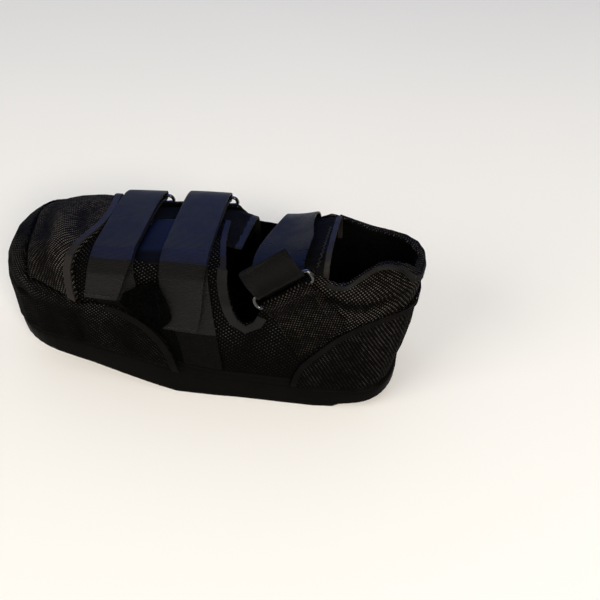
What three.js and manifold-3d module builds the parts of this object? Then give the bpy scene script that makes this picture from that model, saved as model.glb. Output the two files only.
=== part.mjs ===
// A post operative shoe for the left foot, in millimetres.
// +X points to the toe, +Y to the wearer's left and +Z up. The origin is the middle of the flat tread, on the
// floor.
// Every soft layer is cut between two copies of one form of the upper, each grown by a named offset.
import * as THREE from "three";
import { mergeVertices } from "three/addons/utils/BufferGeometryUtils.js";
import Module from "manifold-3d";

const wasm = await Module();
wasm.setup();

// Driving dimensions
const shoe = { length: 280, ballWidth: 104, height: 104, wall: 2.4, heelLean: 11, topSlope: 0.07 };
const tread = { length: 108, heelRun: 48, rocker: 13, bevel: 10.2, step: 1.5, stepRun: 4, edge: 1.2 };
const groove = { width: 3, depth: 1.5, pitch: 13.5, count: 6, reach: 0.72 };
const sole = { band: 16, bandOut: 2.5, edgeRound: 1, bottomIn: 0.5 };
const insole = { thickness: 4, clearance: 0.6 };
const gap = 0.35;
const footCut = 6;
const layer = { flap: 1.8, cover: 2.2, counter: 1.6, guard: 3.1, patch: 1.6, tape: 1.2 };
const tape = { wide: 5, collar: 3, counter: 4, throat: 6.5, over: 4 };
const webbing = { thickness: 1.5, width: 30, narrow: 28, split: 0.5, toBar: 2 };
const ring = { wire: 2.8, span: 9, overhang: 3.5, corner: 3, cornerSteps: 2, sides: 8 };
const roll = { height: 1.1, fromAt: 0.73, fullAt: 0.94 };
const rollRise = { side: 1.08, tip: 1.34 };
const rollSpread = { side: 0.1, tip: 0.26 };
const padding = { height: 3, depth: 16, below: 13, frontAt: 0.2286, fade: 16 };

const heelX = -tread.length / 2 - tread.heelRun;
const toeX = heelX + shoe.length;
const halfBall = shoe.ballWidth / 2;
const reach = shoe.ballWidth;
const sky = shoe.height * 1.5;
const rad = THREE.MathUtils.degToRad;
const lerp = THREE.MathUtils.lerp;
const shareOf = (x) => (x - heelX) / shoe.length;
const along = (share) => heelX + share * shoe.length;

// Half widths of the upper by side, at the rim and at the foot, as shares of the ball's half width. In each
// table at is a share of the length from the heel's back.
const widths = [
  { at: 0.0, left: 0.7, right: 0.6, leftFoot: 0.88, rightFoot: 0.66 },
  { at: 0.14, left: 0.73, right: 0.61, leftFoot: 0.9, rightFoot: 0.67 },
  { at: 0.22, left: 0.83, right: 0.67, leftFoot: 0.95, rightFoot: 0.72 },
  { at: 0.32, left: 0.92, right: 0.75, leftFoot: 0.96, rightFoot: 0.78 },
  { at: 0.4, left: 0.93, right: 0.8, leftFoot: 0.97, rightFoot: 0.84 },
  { at: 0.47, left: 0.94, right: 0.86, leftFoot: 0.99, rightFoot: 0.9 },
  { at: 0.57, left: 0.94, right: 0.88, leftFoot: 1.0, rightFoot: 0.94 },
  { at: 0.7, left: 0.93, right: 0.87, leftFoot: 0.96, rightFoot: 0.94 },
  { at: 0.78, left: 0.92, right: 0.88, leftFoot: 0.92, rightFoot: 0.9 },
  { at: 0.84, left: 0.91, right: 0.88, leftFoot: 0.91, rightFoot: 0.88 },
  { at: 1.0, left: 0.88, right: 0.9, leftFoot: 0.88, rightFoot: 0.82 },
];

// Sections of the upper: rim and crown are shares of the height, square is the exponent of the arch between
// them, 2 being an ellipse, and lean is how early the wall reaches its width at the rim.
const arches = [
  { at: 0.0, rim: 0.86, crown: 1.12, square: 4, lean: 2.4 },
  { at: 0.14, rim: 0.82, crown: 1.12, square: 4, lean: 2.4 },
  { at: 0.22, rim: 0.78, crown: 1.07, square: 4, lean: 2.5 },
  { at: 0.32, rim: 0.7, crown: 0.98, square: 4.5, lean: 3 },
  { at: 0.4, rim: 0.64, crown: 0.97, square: 6, lean: 3 },
  { at: 0.47, rim: 0.62, crown: 1.0, square: 7, lean: 3 },
  { at: 0.57, rim: 0.61, crown: 0.99, square: 7, lean: 3 },
  { at: 0.7, rim: 0.6, crown: 0.96, square: 7, lean: 3 },
  { at: 0.78, rim: 0.6, crown: 0.96, square: 5, lean: 3 },
  { at: 0.84, rim: 0.6, crown: 0.985, square: 4, lean: 3 },
  { at: 1.0, rim: 0.61, crown: 1.0, square: 2.4, lean: 3 },
];

// Heights of the sole, in band heights: band is its visible side band and seat what the upper stands on.
const soleLines = [
  { at: 0.0, band: 1.25, seat: 1.6 },
  { at: 0.14, band: 1.0, seat: 1.35 },
  { at: 0.42, band: 1.0, seat: 1.35 },
  { at: 0.5, band: 1.15, seat: 1.5 },
  { at: 0.62, band: 1.65, seat: 1.95 },
  { at: 0.75, band: 1.98, seat: 2.25 },
  { at: 0.92, band: 2.3, seat: 2.58 },
  { at: 1.0, band: 2.4, seat: 2.68 },
];

const fan = { heelAt: 0.14, toeAt: 0.82, toeApex: -0.3, heelApex: 0.1, heelSquare: 2.7, toeSquare: 2.7 };

// Places of the edges: at is a share of the length from the heel's back, up a share of the height, and out
// a share of the ball's half width, to the left. Each line runs from the heel or the near side onwards.
const inSide = (rows) => rows.map(({ at, up }) => [along(at), up * shoe.height]);
const inPlan = (rows) => rows.map(({ at, out }) => [along(at), out * halfBall]);
const collarLeft = inSide([
  { at: -0.05, up: 0.9135 }, { at: -0.0036, up: 0.9231 }, { at: 0.0357, up: 1.0288 },
  { at: 0.0821, up: 1.0577 }, { at: 0.1214, up: 1 }, { at: 0.1607, up: 0.9231 },
  { at: 0.1964, up: 0.9519 }, { at: 0.2286, up: 1 },
]);
const collarRight = inSide([
  { at: -0.05, up: 0.899 }, { at: -0.0071, up: 0.899 }, { at: 0.0357, up: 0.8942 },
  { at: 0.0786, up: 0.8942 }, { at: 0.1321, up: 0.9135 }, { at: 0.1821, up: 0.9567 },
  { at: 0.2214, up: 1 },
]);
const throatLeft = inSide([
  { at: 0.2286, up: 1 }, { at: 0.2857, up: 0.8846 }, { at: 0.3357, up: 0.7692 },
  { at: 0.3536, up: 0.6538 }, { at: 0.375, up: 0.6058 }, { at: 0.3946, up: 0.6538 },
  { at: 0.4071, up: 0.7692 }, { at: 0.4125, up: 0.9231 }, { at: 0.4143, up: 1.1538 },
]);
const throatRight = inSide([
  { at: 0.2214, up: 1 }, { at: 0.2714, up: 0.9135 }, { at: 0.3286, up: 0.8365 },
  { at: 0.3857, up: 0.8269 }, { at: 0.4429, up: 0.8462 }, { at: 0.4643, up: 1.1538 },
]);
const throatTop = inPlan([
  { at: 0.4143, out: 0.9615 }, { at: 0.4179, out: 0.8077 }, { at: 0.4393, out: 0.3462 },
  { at: 0.4536, out: -0.2308 },
]);
const counterTop = inSide([
  { at: -0.05, up: 0.7404 }, { at: 0, up: 0.7308 }, { at: 0.0643, up: 0.7019 },
  { at: 0.1393, up: 0.5962 }, { at: 0.1964, up: 0.4808 }, { at: 0.2571, up: 0.3077 },
  { at: 0.2786, up: 0.0962 },
]);
const guardTop = inSide([
  { at: 0.8286, up: 0.6481 }, { at: 0.7679, up: 0.6481 }, { at: 0.7214, up: 0.6683 },
  { at: 0.6821, up: 0.6635 }, { at: 0.6107, up: 0.5577 }, { at: 0.5679, up: 0.4135 },
  { at: 0.5429, up: 0.25 }, { at: 0.5286, up: 0.0769 },
]);
const rollTop = inSide([
  { at: 0.7679, up: 0.6481 }, { at: 0.7929, up: 0.6827 }, { at: 0.8214, up: 0.7173 },
  { at: 0.85, up: 0.7481 }, { at: 0.8714, up: 0.7692 }, { at: 0.8929, up: 0.7933 },
  { at: 0.9357, up: 0.8173 }, { at: 1.0786, up: 0.8462 },
]);
const rollRear = inPlan([
  { at: 0.8857, out: 1.1923 }, { at: 0.8929, out: 0.9615 }, { at: 0.8964, out: 0.7692 },
  { at: 0.9054, out: 0.5769 }, { at: 0.9214, out: 0.2692 }, { at: 0.9411, out: -0.0962 },
  { at: 0.9464, out: -0.3846 }, { at: 0.9357, out: -0.6538 }, { at: 0.9107, out: -0.8846 },
  { at: 0.8929, out: -1.1923 },
]);
const patchOutline = inSide([
  { at: 0.6661, up: 0.7019 }, { at: 0.6536, up: 0.7788 }, { at: 0.6321, up: 0.8173 },
  { at: 0.6143, up: 0.8558 }, { at: 0.5714, up: 0.9038 }, { at: 0.5571, up: 0.8269 },
  { at: 0.5464, up: 0.7308 }, { at: 0.5429, up: 0.6346 }, { at: 0.55, up: 0.6058 },
  { at: 0.5786, up: 0.5288 }, { at: 0.6107, up: 0.5769 }, { at: 0.6393, up: 0.6442 },
]);

// The toe cover's rear edge: ahead is how far it lies before the front strap, as a share of that strap's
// width.
const straps = { frontAt: 0.6429, midAt: 0.4714 };
const strapFront = along(straps.frontAt) + webbing.narrow;
const coverRear = [
  { ahead: 0.429, out: 1.1538 }, { ahead: 0.321, out: 0.9615 }, { ahead: 0.25, out: 0.8077 },
  { ahead: 0.143, out: 0.5385 }, { ahead: 0.036, out: 0.2308 }, { ahead: 0.036, out: -0.1154 },
  { ahead: 0.143, out: -0.5 }, { ahead: 0.321, out: -0.8462 }, { ahead: 0.464, out: -1.1538 },
].map(({ ahead, out }) => [strapFront + ahead * webbing.narrow, out * halfBall]);

// The vamp's slot, the flaps and where some edges start, as shares like the tables above.
const vampSlot = { backAt: 0.4071, frontAt: 0.7357, near: -0.154, far: -0.654 };
const farFlap = { backAt: 0.4071, frontAt: 0.7429, near: 0.308, low: 0.673 };
const frontFlap = { backAt: 0.1929, frontAt: 0.3321, low: 0.808 };
const starts = { collarTape: 0.2107, throatTape: 0.3429, guardRoll: 0.7679, guardTape: 0.7143 };

// Reads one column of a table along the shoe as a smooth curve that doesn't overshoot its rows.
function column(rows, key) {
  const slopes = rows.map((row, i) => {
    if (i === 0 || i === rows.length - 1) return 0;
    const before = (row[key] - rows[i - 1][key]) / (row.at - rows[i - 1].at);
    const after = (rows[i + 1][key] - row[key]) / (rows[i + 1].at - row.at);
    return before * after > 0 ? (2 * before * after) / (before + after) : 0;
  });
  return (x) => {
    const s = THREE.MathUtils.clamp(shareOf(x), rows[0].at, rows[rows.length - 1].at);
    let i = 0;
    while (i < rows.length - 2 && s > rows[i + 1].at) i += 1;
    const span = rows[i + 1].at - rows[i].at;
    const t = (s - rows[i].at) / span;
    const low = (1 - t) * (1 - t) * (rows[i][key] * (1 + 2 * t) + slopes[i] * span * t);
    return low + t * t * (rows[i + 1][key] * (3 - 2 * t) - slopes[i + 1] * span * (1 - t));
  };
}

const halfWidth = { "1": column(widths, "left"), "-1": column(widths, "right") };
const halfFoot = { "1": column(widths, "leftFoot"), "-1": column(widths, "rightFoot") };
const rimShare = column(arches, "rim");
const crownShare = column(arches, "crown");
const squareOf = column(arches, "square");
const leanOf = column(arches, "lean");
const bandLine = column(soleLines, "band");
const seatLine = column(soleLines, "seat");
const bandTop = (x) => bandLine(x) * sole.band;
const seatTop = (x) => seatLine(x) * sole.band;

// The sole's underside: flat in the middle, a rocker to the toe, and a small step and a bevel to the heel.
function treadHeight(x) {
  const end = tread.length / 2;
  if (x > end) return (x - end) * Math.tan(rad(tread.rocker));
  if (x >= -end) return 0;
  const back = -end - x;
  return Math.min(back / tread.stepRun, 1) * tread.step + back * Math.tan(rad(tread.bevel));
}

// Stations round one side of the shoe, from the heel's tip to the toe's tip.
function stationList(heelSteps, sideX, toeSteps) {
  const list = [];
  for (let i = 0; i < heelSteps; i += 1) list.push({ zone: "heel", angle: rad((90 * i) / heelSteps) });
  sideX.forEach((x) => list.push({ zone: "side", x }));
  for (let i = toeSteps - 1; i >= 0; i -= 1) list.push({ zone: "toe", angle: rad((90 * i) / toeSteps) });
  return list;
}

// A plan point of a station: level 0 is the upper's foot and 1 its rim, and grow moves it outwards.
function planPoint(station, side, level, grow) {
  const half = (x) => lerp(halfFoot[side](x), halfWidth[side](x), level) * halfBall + grow;
  if (station.zone === "side") return new THREE.Vector2(station.x, side * half(station.x));
  const heel = station.zone === "heel";
  const root = along(heel ? fan.heelAt : fan.toeAt);
  const back = heelX + shoe.heelLean * (1 - level) - grow;
  const front = toeX + grow;
  const power = 2 / (heel ? fan.heelSquare : fan.toeSquare);
  const out = Math.cos(station.angle) ** power;
  const aside = Math.sin(station.angle) ** power;
  const x = root + ((heel ? back : front) - root) * out;
  const apex = (heel ? fan.heelApex : fan.toeApex) * halfBall * out;
  return new THREE.Vector2(x, apex + (side * half(x) - apex) * aside);
}

// The arch over the rim: keep is what is left of the width and lift how much of the crown is reached.
function archOf(rise, square) {
  const angle = rad(90 * (rise - 1));
  const out = (Math.abs(Math.cos(angle)) ** square + Math.sin(angle) ** square) ** (-1 / square);
  return { keep: rise >= 2 ? 0 : out * Math.cos(angle), lift: out * Math.sin(angle) };
}

// A point of the upper's form. rise runs 0 to 1 up the wall and 1 to 2 over the arch to the crown.
function formPoint(station, side, rise, grow) {
  const base = planPoint(station, side, 1, 0);
  const out = typeof grow === "function" ? grow(base.x, rise) : grow;
  const foot = planPoint(station, side, 0, out);
  const full = planPoint(station, side, 1, out);
  const rim = rimShare(base.x) * shoe.height;
  if (rise <= 1) {
    const lean = 1 - (1 - rise) ** leanOf(base.x);
    const floor = seatTop(base.x) + gap;
    return new THREE.Vector3(lerp(foot.x, full.x, lean), lerp(foot.y, full.y, lean), lerp(floor, rim, rise));
  }
  const root = THREE.MathUtils.clamp(base.x, along(fan.heelAt), along(fan.toeAt));
  const { keep, lift } = archOf(rise, squareOf(base.x));
  const crown = crownShare(root) * shoe.height + full.y * keep * shoe.topSlope + out;
  return new THREE.Vector3(lerp(root, full.x, keep), full.y * keep, lerp(rim, crown, lift));
}

// A closed surface from quads and triangles; equal corners become one.
class Surface {
  points = [];
  faces = [];
  known = new Map();

  corner(point) {
    const key = point.toArray().map((v) => Math.round(v * 1e4)).join();
    if (!this.known.has(key)) {
      this.known.set(key, this.points.length);
      this.points.push(point);
    }
    return this.known.get(key);
  }

  triangle(...corners) {
    const face = corners.map((point) => this.corner(point));
    if (new Set(face).size === 3) this.faces.push(face);
  }

  quad(a, b, c, d) {
    this.triangle(a, b, c);
    this.triangle(a, c, d);
  }

  solid() {
    const made = new wasm.Manifold(
      new wasm.Mesh({
        numProp: 3,
        vertProperties: new Float32Array(this.points.flatMap((point) => point.toArray())),
        triVerts: new Uint32Array(this.faces.flat()),
      }),
    );
    if (made.volume() > 0) return made;
    this.faces.forEach((face) => face.reverse());
    return this.solid();
  }
}

// A solid from rings one above the other, each with a list of points for the left and the right side.
function loft(rings) {
  const surface = new Surface();
  const strip = (a, b, flip) => {
    for (let i = 0; i + 1 < a.length; i += 1) {
      if (flip) surface.quad(a[i], b[i], b[i + 1], a[i + 1]);
      else surface.quad(a[i], a[i + 1], b[i + 1], b[i]);
    }
  };
  for (let k = 0; k + 1 < rings.length; k += 1) {
    strip(rings[k].left, rings[k + 1].left, true);
    strip(rings[k].right, rings[k + 1].right, false);
  }
  const top = rings[rings.length - 1];
  strip(rings[0].left, rings[0].right, false);
  strip(top.left, top.right, true);
  return surface.solid();
}

const spaced = (from, to, steps) => Array.from({ length: steps + 1 }, (_, i) => lerp(from, to, i / steps));
const flatEnd = tread.length / 2;
const sideX = [
  along(fan.heelAt),
  ...spaced(-flatEnd, flatEnd, 8),
  ...spaced(flatEnd, along(fan.toeAt), 6).slice(1),
];
const upperStations = stationList(5, sideX, 6);
const wallRises = [0, 0.2, 0.5, 0.8];
const archRises = [0.95, 1.03, 1.13, 1.27, 1.4, 1.5, 1.6, 1.76, 2];

// The closed form of the upper, grown by an offset or by a function of x and rise. Its foot runs straight
// down by drop, a function of x, under the seat.
function upperForm(grow, drop) {
  const ringOf = (rise, down) => {
    const side = (sign) => upperStations.map((station) => {
      const point = formPoint(station, sign, rise, grow);
      return down ? point.setZ(point.z - down(planPoint(station, sign, 1, 0).x)) : point;
    });
    return { left: side(1), right: side(-1) };
  };
  const rings = [...wallRises, ...archRises].map((rise) => ringOf(rise));
  return loft(drop ? [ringOf(0, drop), ...rings] : rings);
}

// A layer of cloth between two offsets of the form.
const deeper = (drop) => (x) => (drop ? drop(x) : 0) + footCut;
const shell = (from, to, drop) => upperForm(to, drop).subtract(upperForm(from, deeper(drop)));

function solidOf(geometry) {
  const bare = geometry.clone();
  bare.deleteAttribute("normal");
  bare.deleteAttribute("uv");
  const merged = mergeVertices(bare, 1e-4);
  const vertProperties = merged.attributes.position.array;
  const triVerts = new Uint32Array(merged.index.array);
  return new wasm.Manifold(new wasm.Mesh({ numProp: 3, vertProperties, triVerts }));
}

// An outline in side view run across the shoe from y low to y high.
function sidePrism(outline, low = -reach, high = reach) {
  const shape = new THREE.Shape(outline.map(([x, z]) => new THREE.Vector2(x, z)));
  const geometry = new THREE.ExtrudeGeometry(shape, { depth: high - low, bevelEnabled: false });
  return solidOf(geometry.rotateX(Math.PI / 2).translate(0, high, 0));
}

// An outline in plan run up from z low to z high.
function planPrism(outline, low = -sky, high = sky) {
  const shape = new THREE.Shape(outline.map(([x, y]) => new THREE.Vector2(x, y)));
  const geometry = new THREE.ExtrudeGeometry(shape, { depth: high - low, bevelEnabled: false });
  return solidOf(geometry.translate(0, 0, low));
}

const boxOutline = (x0, x1, y0, y1) => [[x0, y0], [x1, y0], [x1, y1], [x0, y1]];

// A polyline rounded into a smooth curve of even steps.
function rounded(points, steps) {
  const corners = points.map(([a, b]) => new THREE.Vector3(a, b, 0));
  const curve = new THREE.CatmullRomCurve3(corners, false, "centripetal");
  return curve.getSpacedPoints(steps).map((point) => [point.x, point.y]);
}

// The same line moved sideways, to the left of its direction when distance is positive.
function besideLine(points, distance) {
  return points.map(([a, b], i) => {
    const [a0, b0] = points[Math.max(i - 1, 0)];
    const [a1, b1] = points[Math.min(i + 1, points.length - 1)];
    const length = Math.hypot(a1 - a0, b1 - b0);
    return [a - ((b1 - b0) / length) * distance, b + ((a1 - a0) / length) * distance];
  });
}

const bandBetween = (points, from, to) => [...besideLine(points, from), ...besideLine(points, to).reverse()];

// A sheet of even thickness about a grid of points, for webbing and folded tape.
function sheet(grid, thickness) {
  const rows = grid.length;
  const columns = grid[0].length;
  const faceOf = (sign) => grid.map((row, r) => row.map((point, c) => {
    const before = grid[Math.max(r - 1, 0)][c];
    const after = grid[Math.min(r + 1, rows - 1)][c];
    const left = row[Math.max(c - 1, 0)];
    const right = row[Math.min(c + 1, columns - 1)];
    const normal = after.clone().sub(before).cross(right.clone().sub(left)).normalize();
    return point.clone().addScaledVector(normal, (sign * thickness) / 2);
  }));
  const low = faceOf(-1);
  const high = faceOf(1);
  const surface = new Surface();
  for (let r = 0; r + 1 < rows; r += 1) {
    for (let c = 0; c + 1 < columns; c += 1) {
      surface.quad(low[r][c], low[r][c + 1], low[r + 1][c + 1], low[r + 1][c]);
      surface.quad(high[r][c], high[r + 1][c], high[r + 1][c + 1], high[r][c + 1]);
    }
    const last = columns - 1;
    surface.quad(low[r][0], low[r + 1][0], high[r + 1][0], high[r][0]);
    surface.quad(low[r][last], high[r][last], high[r + 1][last], low[r + 1][last]);
  }
  for (let c = 0; c + 1 < columns; c += 1) {
    const end = rows - 1;
    surface.quad(low[0][c], high[0][c], high[0][c + 1], low[0][c + 1]);
    surface.quad(low[end][c], low[end][c + 1], high[end][c + 1], high[end][c]);
  }
  return surface.solid();
}

// The form's rise at a height of the wall or arch.
function riseAt(x, side, z) {
  let low = 0;
  let high = 2;
  for (let i = 0; i < 30; i += 1) {
    const middle = (low + high) / 2;
    if (formPoint({ zone: "side", x }, side, middle, 0).z < z) low = middle;
    else high = middle;
  }
  return (low + high) / 2;
}

const onForm = (x, side, rise, grow) => formPoint({ zone: "side", x }, side, rise, grow);
const onWall = (x, side, z, grow) => onForm(x, side, riseAt(x, side, z), grow);

// The sole: side band, inset seat for the upper, and shallow grooves across the tread.
function makeOutsole() {
  const sideStations = [...sideX, -flatEnd - tread.stepRun].sort((a, b) => a - b);
  const stations = stationList(10, sideStations, 12);
  const ring3 = (grow, height) => {
    const side = (s) => stations.map((station) => {
      const plan = planPoint(station, s, 0, grow);
      return new THREE.Vector3(plan.x, plan.y, height(plan.x));
    });
    return { left: side(1), right: side(-1) };
  };
  const out = sole.bandOut;
  const body = loft([
    ring3(out - sole.bottomIn - tread.edge, treadHeight),
    ring3(out - sole.bottomIn, (x) => treadHeight(x) + tread.edge),
    ring3(out, (x) => lerp(treadHeight(x), bandTop(x), 0.6)),
    ring3(out, (x) => bandTop(x) - sole.edgeRound),
    ring3(out - sole.edgeRound, bandTop),
    ring3(-gap, bandTop),
    ring3(-gap, seatTop),
  ]);
  const first = (-groove.pitch * (groove.count - 1)) / 2;
  const grooves = Array.from({ length: groove.count }, (_, i) => {
    const x = first + i * groove.pitch;
    const half = halfBall * groove.reach;
    const outline = boxOutline(x - groove.width / 2, x + groove.width / 2, -half, half);
    return planPrism(outline, -groove.depth, groove.depth);
  });
  return grooves.reduce((left, cutter) => left.subtract(cutter), body);
}

function makeInsole() {
  const at = (height) => {
    const side = (sign) => upperStations.map((station) => {
      const { x } = planPoint(station, sign, 1, 0);
      const rise = height / (rimShare(x) * shoe.height - seatTop(x) - gap);
      return formPoint(station, sign, rise, -shoe.wall - insole.clearance);
    });
    return { left: side(1), right: side(-1) };
  };
  return loft([at(0), at(insole.thickness)]);
}

// How far the padded collar stands out, by x and rise.
function collarPad(x, rise) {
  const { height, depth, below, fade } = padding;
  const front = along(padding.frontAt);
  const reachBack = 1 - THREE.MathUtils.smoothstep(x, front - fade, front);
  const rim = rimShare(x) * shoe.height;
  const arch = rise > 1 ? archOf(rise, squareOf(x)).lift : 0;
  const z = lerp(seatTop(x), rim, Math.min(rise, 1)) + arch * (crownShare(x) * shoe.height - rim);
  const down = (z - (shoe.height - below)) / (depth / 2);
  return height * reachBack * Math.exp(-down * down);
}

// The raised roll round the toe, by x and rise. It climbs from the side's rim to the front of the toe.
function toeRoll(x, rise) {
  const ahead = THREE.MathUtils.smoothstep(x, along(roll.fromAt), along(roll.fullAt));
  const middle = lerp(rollRise.side, rollRise.tip, ahead);
  const off = (rise - middle) / lerp(rollSpread.side, rollSpread.tip, ahead);
  return roll.height * ahead * Math.exp(-off * off);
}

const collarCurve = { "1": rounded(collarLeft, 16), "-1": rounded(collarRight, 13) };
const throatCurve = { "1": rounded(throatLeft, 18), "-1": rounded(throatRight, 8) };

const slotNear = vampSlot.near * halfBall;

// Everything above the collar and throat lines of one side.
function openingOf(side) {
  const edge = [...collarCurve[side], ...throatCurve[side].slice(1)];
  const outline = [...edge, [edge[edge.length - 1][0], sky], [edge[0][0], sky]];
  return side > 0 ? sidePrism(outline, slotNear, reach) : sidePrism(outline, -reach, slotNear);
}

// Over the instep the throat's edge runs forward as it goes to the right.
const throatOver = rounded(throatTop, 6);
const throatBehind = along(frontFlap.frontAt);
const overLow = 0.88 * shoe.height;
const overEdge = throatOver.filter(([, y]) => y > slotNear);
const openOver = planPrism([
  [throatBehind, slotNear],
  [throatBehind, throatOver[0][1]],
  ...overEdge,
  [throatOver[throatOver.length - 1][0], slotNear],
], overLow);
const openings = openingOf(1).add(openingOf(-1)).add(openOver);
const slotCutter = planPrism(
  boxOutline(along(vampSlot.backAt) - footCut, along(vampSlot.frontAt), vampSlot.far * halfBall, slotNear),
  halfBall,
);

function makeUpper() {
  const body = upperForm(collarPad).subtract(upperForm(-shoe.wall, deeper()));
  return body.subtract(openings).subtract(slotCutter);
}

const guardCurve = rounded(guardTop, 17);
const counterCurve = rounded(counterTop, 14);
const coverCurve = rounded(coverRear, 16);
const rollCurve = rounded(rollTop, 10);
const rollBack = rounded(rollRear, 13);
const below = -footCut;
const beyondToe = toeX + reach / 4;
const behindHeel = counterCurve[0][0];
const ledgeDrop = (x) => seatTop(x) - bandTop(x) - gap / 2;

// The guard ends at its top edge on the sides and at the roll's rear edge over the toe.
function guardRegion() {
  const edge = guardCurve.filter(([x]) => x < along(starts.guardRoll));
  const upwards = [...rollCurve].reverse();
  const side = sidePrism([[beyondToe, below], ...upwards, ...edge, [edge[edge.length - 1][0], below]]);
  const front = planPrism([...rollBack, [beyondToe, -reach], [beyondToe, reach]], shoe.height / 2);
  return side.add(front);
}

// The cover fills what the roll leaves open, a gap away from it.
function coverRegion() {
  const behind = along(starts.guardTape);
  const raised = ([x, z]) => [x, z + gap];
  const foot = guardCurve.filter(([x]) => x < rollCurve[0][0] && x > behind).reverse().map(raised);
  const above = sidePrism([...rollCurve.map(raised), [beyondToe, sky], [behind, sky], ...foot]);
  return planPrism([...coverCurve, ...besideLine(rollBack, -gap).reverse()]).intersect(above);
}

function makeToeGuard(pocket) {
  const outer = upperForm((x, rise) => gap + layer.guard + toeRoll(x, rise), ledgeDrop);
  return outer.subtract(upperForm(gap, deeper(ledgeDrop))).intersect(guardRegion()).subtract(pocket);
}

const makeToeCover = () => shell(gap, gap + layer.cover).intersect(coverRegion());

function makeCoverTape() {
  const low = gap + layer.cover + gap;
  const band = planPrism(bandBetween(coverCurve, 0, tape.wide));
  return shell(low, low + layer.tape).intersect(coverRegion()).intersect(band);
}

const counterEnd = counterCurve[counterCurve.length - 1][0];
const counterRegion = () => sidePrism([...counterCurve, [counterEnd, below], [behindHeel, below]]);
const makeCounter = () => shell(gap, gap + layer.counter, ledgeDrop).intersect(counterRegion());

function makeCounterTape() {
  const low = gap + layer.counter + gap;
  const band = sidePrism(bandBetween(counterCurve, 0, -tape.counter));
  return shell(low, low + layer.tape, ledgeDrop).intersect(band).intersect(counterRegion());
}

const padded = (grow) => (x, rise) => grow + collarPad(x, rise);

function makeCollarTape() {
  const cloth = upperForm(padded(gap + layer.tape)).subtract(upperForm(padded(gap), deeper()));
  const bandOf = (side) => {
    const edge = collarCurve[side].filter(([x]) => x < along(starts.collarTape));
    const outline = bandBetween(edge, 0, -tape.collar);
    return side > 0 ? sidePrism(outline, 0, reach) : sidePrism(outline, -reach, 0);
  };
  return cloth.intersect(bandOf(1).add(bandOf(-1)));
}

function makeThroatTape() {
  const up = throatCurve[1].filter(([x]) => x > along(starts.throatTape));
  const side = sidePrism(bandBetween(up, 0, -tape.throat), throatOver[0][1] - tape.throat, reach);
  const over = planPrism(bandBetween(throatOver, 0, tape.over), overLow);
  const kept = planPrism(boxOutline(throatBehind - shoe.length, halfBall, slotNear, reach));
  return shell(gap, gap + layer.tape).intersect(side.add(over)).intersect(kept);
}

const inside = -shoe.wall - gap;

function makeFarFlap() {
  const plan = boxOutline(along(farFlap.backAt), along(farFlap.frontAt), -reach, farFlap.near * halfBall);
  return shell(inside - layer.flap, inside).intersect(planPrism(plan, farFlap.low * shoe.height));
}

function makeFrontFlap() {
  const plan = boxOutline(along(frontFlap.backAt), along(frontFlap.frontAt), -reach, reach);
  return shell(inside - layer.flap, inside).intersect(planPrism(plan, frontFlap.low * shoe.height));
}

// Webbing that runs over the form, round a ring's bar on the far side and back over itself.
const turn = ring.wire / 2 + webbing.split + webbing.thickness / 2;
const underGrow = webbing.split + webbing.thickness / 2;
const outerGrow = underGrow + webbing.thickness + webbing.split;

const halfTurn = (centres, outward, forward) => spaced(-90, 90, 5).map((degrees) => (
  centres.map((point) => point.clone()
    .addScaledVector(outward, turn * Math.sin(rad(degrees)))
    .addScaledVector(forward, turn * Math.cos(rad(degrees))))
));

const acrossStrap = [0, 0.5, 1];
const overArch = [1.13, 1.27, 1.4, 1.5, 1.6, 1.76, 2];

function strapGrid(spec) {
  const path = [
    ...spaced(spec.nearRise, 1, 3).map((rise) => ({ side: 1, rise })),
    ...overArch.map((rise) => ({ side: 1, rise })),
    ...[...overArch].reverse().slice(1, 4).map((rise) => ({ side: -1, rise })),
  ];
  const shoulder = 1.5;
  const low = (step, end) => (
    step.side > 0 ? THREE.MathUtils.clamp((shoulder - step.rise) / (shoulder - end), 0, 1) : 0
  );
  const pointAt = (share, step, end, lean, grow) => {
    const lowness = low(step, end);
    const back = spec.back + lean.back * lowness;
    const edge = spec.back + spec.width + lean.front * lowness;
    const across = onForm(spec.back, step.side, step.rise, 0).y / halfBall;
    return onForm(lerp(back, edge, share) - spec.skew * across, step.side, step.rise, grow);
  };
  const under = path.map((step) => acrossStrap.map((share) => (
    pointAt(share, step, spec.nearRise, spec.underLean, underGrow)
  )));
  const last = under[under.length - 1];
  const before = under[under.length - 2];
  const forward = last[1].clone().sub(before[1]).setX(0).normalize();
  const outward = new THREE.Vector3(0, forward.z, -forward.y);
  if (outward.y > 0) outward.negate();
  const centre = last.map((point) => (
    point.clone().addScaledVector(outward, turn).addScaledVector(forward, webbing.toBar)
  ));
  const back = path.slice(0, -1).reverse().filter((step) => step.side < 0 || step.rise > spec.endRise);
  back.push({ side: 1, rise: spec.endRise });
  const over = back.map((step, i) => {
    const nearBar = Math.max(0, 1 - (i + 1) / 4);
    const lift = outerGrow + nearBar * (2 * turn - webbing.thickness - webbing.split);
    return acrossStrap.map((share) => pointAt(share, step, spec.endRise, spec.endLean, lift));
  });
  return { grid: [...under, ...halfTurn(centre, outward, forward), ...over], bar: centre };
}

const solids = {};
const add = (name, solid, colour, roughness, metalness = 0) => {
  solids[name] = { solid, colour, roughness, metalness };
};

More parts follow.
